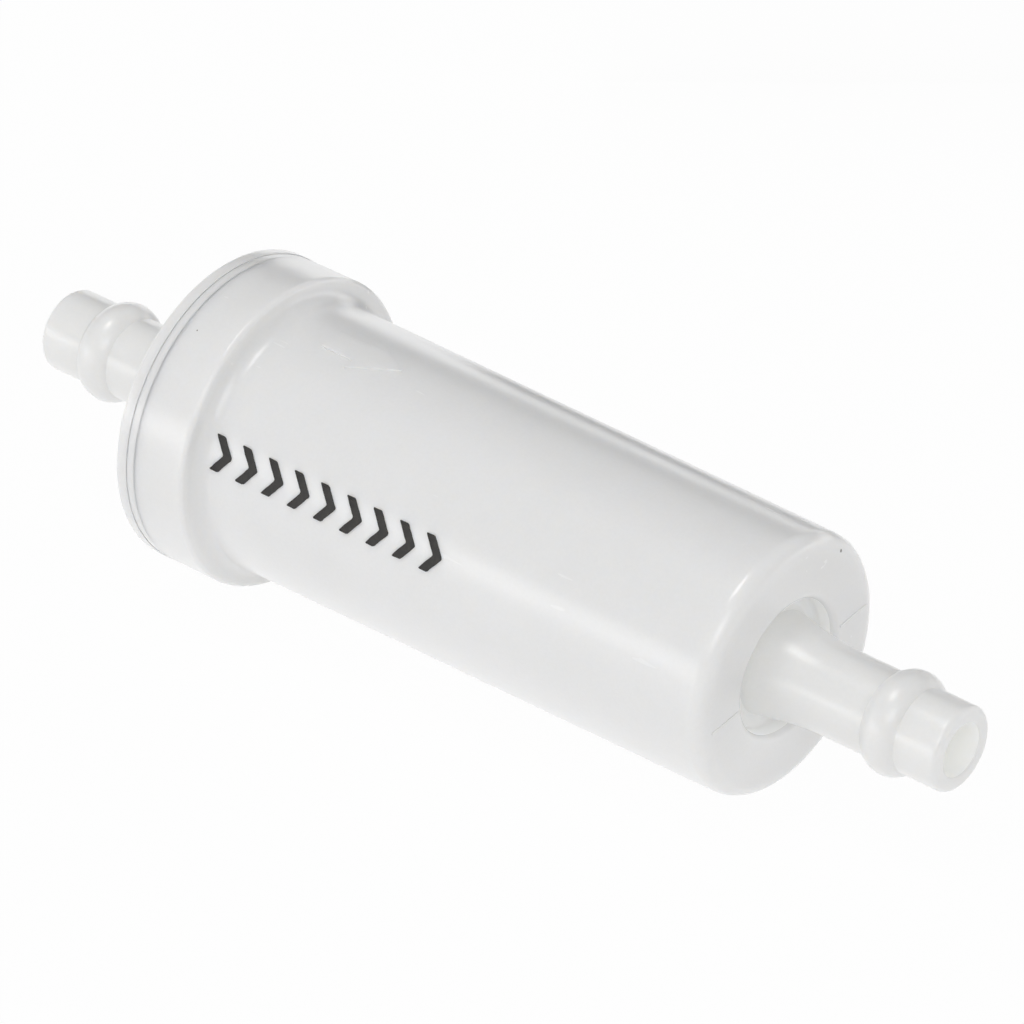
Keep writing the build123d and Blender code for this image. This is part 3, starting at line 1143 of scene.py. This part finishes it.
@dataclass
class PrintedFlowMarks:
    """A row of printed chevrons on the barrel that point to the outlet."""

    housing: HousingBody
    start_x: float = -21.49 * MM
    turn: float = math.radians(68.8)
    count: int = 9
    pitch: float = 3.085 * MM
    height: float = 3.43 * MM
    stroke: float = 1.05 * MM
    point: float = 1.35 * MM  # how far a chevron's point leads its tails
    corner_round: float = 0.18 * MM
    corner_segments: int = 3
    strips: int = 10
    film: float = 0.03 * MM
    rim_width: float = 0.16 * MM  # the ink stands higher along a stroke's edges
    rim_height: float = 0.015 * MM
    sunk: float = 0.02 * MM
    unevenness: float = 0.02 * MM
    seed: int = 11

    def build(self) -> None:
        """Draws the chevrons flat, then lays them on the barrel."""
        mesh = bmesh.new()
        outline = (
            (0.0, 0.0),
            (-self.point, self.height / 2),
            (-self.point + self.stroke, self.height / 2),
            (self.stroke, 0.0),
            (-self.point + self.stroke, -self.height / 2),
            (-self.point, -self.height / 2),
        )
        corners = [mesh.verts.new((x, across, 0.0)) for x, across in outline]
        mesh.faces.new(corners)
        bevel(mesh, corners, self.corner_round, self.corner_segments, "VERTICES")
        for strip in range(1, self.strips):
            level = Vector((0, self.height * (strip / self.strips - 0.5), 0))
            cut_faces(mesh, mesh.faces[:], level, Vector((0, 1, 0)))
        single = mesh.verts[:] + mesh.edges[:] + mesh.faces[:]
        for index in range(1, self.count):
            copy = bmesh.ops.duplicate(mesh, geom=single)["geom"]
            shifted = [item for item in copy if isinstance(item, Vert)]
            bmesh.ops.translate(mesh, verts=shifted, vec=(index * self.pitch, 0, 0))
        wander = random.Random(self.seed)
        for vert in mesh.verts:
            vert.co.x += wander.uniform(-self.unevenness, self.unevenness)
            vert.co.y += wander.uniform(-self.unevenness, self.unevenness)
            self._lay(vert)
        tops = raise_faces(mesh, mesh.faces[:], lambda point: outward(point) * (self.film + self.sunk))
        bmesh.ops.inset_region(
            mesh, faces=tops, thickness=self.rim_width, depth=-self.rim_height, use_even_offset=True
        )
        bmesh.ops.recalc_face_normals(mesh, faces=mesh.faces)
        finish_piece("printed_flow_marks", mesh, [MARK_INK], None)

    def _lay(self, vert: Vert) -> None:
        """Moves a point of the flat drawing onto the barrel."""
        x = self.start_x + vert.co.x
        radius = self.housing.barrel_radius(x) - self.sunk
        vert.co = Vector((x, 0, 0)) + about_axis(self.turn + vert.co.y / radius) * radius


@dataclass
class FilterElement:
    """The element inside the housing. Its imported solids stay, and get their finishes."""

    nodes: dict[str, bpy.types.Object]
    finishes: dict[str, Finish] = field(
        default_factory=lambda: {
            "element_inlet_plate": PLATE_PLASTIC,
            "element_outlet_plate": PLATE_PLASTIC,
            "core_tube": CORE_PLASTIC,
            "filter_paper": PLEAT_PAPER,
            "pleat_seam_strip": SEAM_TAPE,
            "inlet_potting": CAST_ADHESIVE,
            "outlet_potting": CAST_ADHESIVE,
            "neck_seal": SEAL_RUBBER,
        }
    )

    def dress(self) -> None:
        """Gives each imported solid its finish."""
        for name, finish in self.finishes.items():
            for slot in self.nodes[name].material_slots:
                slot.material = material_of(finish)
            log.info("dressed %s as %s", name, finish.name)


# ---- studio ----


@dataclass(frozen=True)
class SoftBox:
    """A soft lamp, aimed at the filter."""

    name: str
    azimuth: float  # degrees, as the camera's
    elevation: float
    width: float
    height: float
    glow: float  # radiance of its face
    distance: float = 1.2

    def hang(self) -> None:
        """Puts the lamp in its place."""
        data = bpy.data.lights.new(self.name, "AREA")
        data.shape = "RECTANGLE"
        data.size = self.width
        data.size_y = self.height
        data.energy = math.pi * self.glow * self.width * self.height
        lamp = bpy.data.objects.new(self.name, data)
        bpy.context.scene.collection.objects.link(lamp)
        back = look_back(math.radians(self.azimuth), math.radians(self.elevation))
        lamp.location = back * self.distance
        lamp.rotation_mode = "QUATERNION"
        lamp.rotation_quaternion = back.to_track_quat("Z", "Y")
        log.info("hung %s", self.name)


@dataclass(frozen=True)
class DarkCard:
    """A dark card that stands on the floor behind the filter, out of the camera's sight."""

    azimuth: float = 217.0  # degrees, as the camera's
    distance: float = 0.11
    left: float = 0.004  # along the card, from the line through the filter's middle
    right: float = 0.2
    low: float = -0.016
    high: float = 0.009
    colour: Colour = (0.02, 0.02, 0.02)

    def stand(self) -> None:
        """Puts the card in its place."""
        material = bpy.data.materials.new("dark_card")
        graph = clear_graph(material)
        matte = graph.add("BsdfDiffuse", {"Color": rgba(self.colour)})
        graph.add("OutputMaterial", {"Surface": matte.outputs[0]})
        back = look_back(math.radians(self.azimuth), 0.0)
        along = Vector((0, 0, 1)).cross(back)
        middle = back * self.distance - along * (self.left + self.right) / 2
        middle.z = (self.low + self.high) / 2
        turn = Matrix((along, Vector((0, 0, 1)), back)).transposed().to_quaternion()
        size = Vector((self.right - self.left, self.high - self.low, 1.0))
        mesh = bmesh.new()
        stance = Matrix.LocRotScale(middle, turn, size)
        bmesh.ops.create_grid(mesh, x_segments=1, y_segments=1, size=0.5, matrix=stance)
        card = place_mesh("dark_card", mesh, [material])
        card.visible_camera = False
        log.info("stood the dark card")


def look_back(azimuth: float, elevation: float) -> Vector:
    """The direction from the filter to an eye at this azimuth and elevation."""
    level = math.cos(elevation)
    return Vector((math.sin(azimuth) * level, -math.cos(azimuth) * level, math.sin(elevation)))


@dataclass
class Studio:
    """A plain pale floor that the filter lies on, soft light, and the camera."""

    azimuth: float = math.radians(40.42)
    elevation: float = math.radians(33.54)
    distance: float = 564.5 * MM
    lens: float = 221.72
    sensor: float = 36.0
    aim_right: float = 1.65 * MM  # from the flow axis' middle to the view's centre line
    aim_up: float = 1.5 * MM
    clip_start: float = 0.05
    floor_size: float = 6.0
    floor_colour: Colour = (0.88, 0.88, 0.88)
    floor_drift: Colour = (0.8, 0.8, 0.8)
    floor_drift_scale: float = 3.0
    floor_drift_share: float = 0.1
    floor_glow: float = 0.97  # share of plain white in what the eye sees of the floor
    table_glow: float = 0.28  # the same share for the soft light that the floor throws back
    low_air: float = 1.25  # radiance of the studio's walls just above the floor
    low_air_fade: tuple[float, float] = (0.12, 0.2)  # sines of the elevations where it ends
    high_air: float = 0.55
    high_air_rise: tuple[float, float] = (0.3, 0.44)  # and where the light from above starts
    backdrop_azimuth: float = math.radians(217.0)
    backdrop_lift: float = 0.12  # how much higher the dark band reaches on the backdrop's side
    lamps: tuple[SoftBox, ...] = (
        SoftBox("key_softbox", 38.0, 38.0, 0.62, 0.42, 2.2),
        SoftBox("top_softbox", 315.0, 78.0, 0.4, 0.4, 4.2),
        SoftBox("left_strip", 330.0, 7.0, 1.2, 0.32, 1.2),
        SoftBox("right_strip", 150.0, 7.0, 1.2, 0.25, 0.8),
    )
    card: DarkCard = DarkCard()

    def lay_floor(self, rim_x: float, rim_radius: float, end_x: float, end_radius: float) -> None:
        """Lays the floor where the cap's rim and the barrel's far end both rest on it.

        Args:
            rim_x: Station where the cap's rim rests.
            rim_radius: The rim's radius.
            end_x: Station where the barrel rests.
            end_radius: The barrel's radius there.
        """
        slope = math.atan2(rim_radius - end_radius, end_x - rim_x)
        drop = Vector((0, 0, -rim_radius - rim_x * math.tan(slope)))
        stance = Matrix.Translation(drop) @ Matrix.Rotation(-slope, 4, "Y")
        mesh = bmesh.new()
        size = self.floor_size / 2
        bmesh.ops.create_grid(mesh, x_segments=1, y_segments=1, size=size, matrix=stance)
        floor = place_mesh("studio_floor", mesh, [self._floor_material()])
        log.info("laid the floor, %.2f degrees off level", math.degrees(slope))

    def _floor_material(self) -> Material:
        """A pale floor that looks white to the eye and in reflections, and still takes a shadow."""
        material = bpy.data.materials.new("pale_floor")
        graph = clear_graph(material)
        tone = graph.noise(graph.place, self.floor_drift_scale, 2.0)
        amount = graph.math("MULTIPLY", tone, self.floor_drift_share)
        pale = graph.blend(amount, rgba(self.floor_colour), rgba(self.floor_drift))
        matte = graph.add("BsdfDiffuse", {"Color": pale})
        white = graph.add("Emission", {"Color": (1, 1, 1, 1), "Strength": 1.0})
        rays = graph.add("LightPath").outputs
        seen = graph.math("MAXIMUM", rays["Is Camera Ray"], rays["Is Glossy Ray"])
        seen = graph.math("MAXIMUM", seen, rays["Is Transmission Ray"])
        share = graph.math("MAXIMUM", graph.math("MULTIPLY", seen, self.floor_glow), self.table_glow)
        mixed = graph.add("MixShader", {0: share, 1: matte.outputs[0], 2: white.outputs[0]})
        graph.add("OutputMaterial", {"Surface": mixed.outputs[0]})
        return material

    def light(self) -> None:
        """Lights the world and hangs the lamps."""
        world = bpy.data.worlds.new("studio_air")
        bpy.context.scene.world = world
        graph = clear_graph(world)
        direction = graph.add("TexCoord").outputs["Generated"]
        height = graph.add("SeparateXYZ", {0: direction}).outputs["Z"]
        toward_back = look_back(self.backdrop_azimuth, 0.0)
        backness = graph.add("VectorMath", {0: direction, 1: toward_back}, operation="DOT_PRODUCT")
        lift = graph.math("MULTIPLY", backness.outputs["Value"], self.backdrop_lift)
        low = graph.spread(height, *self.low_air_fade, self.low_air, 0.0)
        lifted = graph.math("SUBTRACT", height, lift)
        high = graph.spread(lifted, *self.high_air_rise, 0.0, self.high_air)
        air = graph.add("Background", {"Color": (1, 1, 1, 1), "Strength": graph.math("ADD", low, high)})
        graph.add("OutputWorld", {"Surface": air.outputs[0]})
        for lamp in self.lamps:
            lamp.hang()
        self.card.stand()

    def place_camera(self) -> None:
        """Puts the camera in its place and makes it the scene's."""
        data = bpy.data.cameras.new("camera")
        data.lens = self.lens
        data.sensor_width = self.sensor
        data.clip_start = self.clip_start
        camera = bpy.data.objects.new("camera", data)
        bpy.context.scene.collection.objects.link(camera)
        back = look_back(self.azimuth, self.elevation)
        right = Vector((math.cos(self.azimuth), math.sin(self.azimuth), 0.0))
        up = back.cross(right)
        camera.location = back * self.distance + right * self.aim_right + up * self.aim_up
        camera.rotation_mode = "QUATERNION"
        camera.rotation_quaternion = Matrix((right, up, back)).transposed().to_quaternion()
        bpy.context.scene.camera = camera


# ---- assembly ----


def main() -> None:
    """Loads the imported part, builds every piece round it, and sets up the studio."""
    logging.basicConfig(level=logging.INFO, format="%(name)s: %(message)s")
    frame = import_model()
    bpy.context.scene.view_settings.view_transform = "Standard"

    cap = InletCap(tip_x=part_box("inlet_cap")[0].x)
    cap.build()
    weld_low, weld_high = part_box("weld_ring")
    WeldRing(start_x=weld_low.x, end_x=weld_high.x).build()
    housing = HousingBody(mouth_x=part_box("housing_body")[0].x)
    housing.build()
    PrintedFlowMarks(housing).build()
    FilterElement(frame["nodes"]).dress()

    studio = Studio()
    studio.lay_floor(
        cap.rim_x,
        cap.radius,
        housing.end_x - housing.end_round,
        housing.barrel_radius(housing.end_x - housing.end_round),
    )
    studio.light()
    studio.place_camera()


if __name__ == "__main__":
    main()
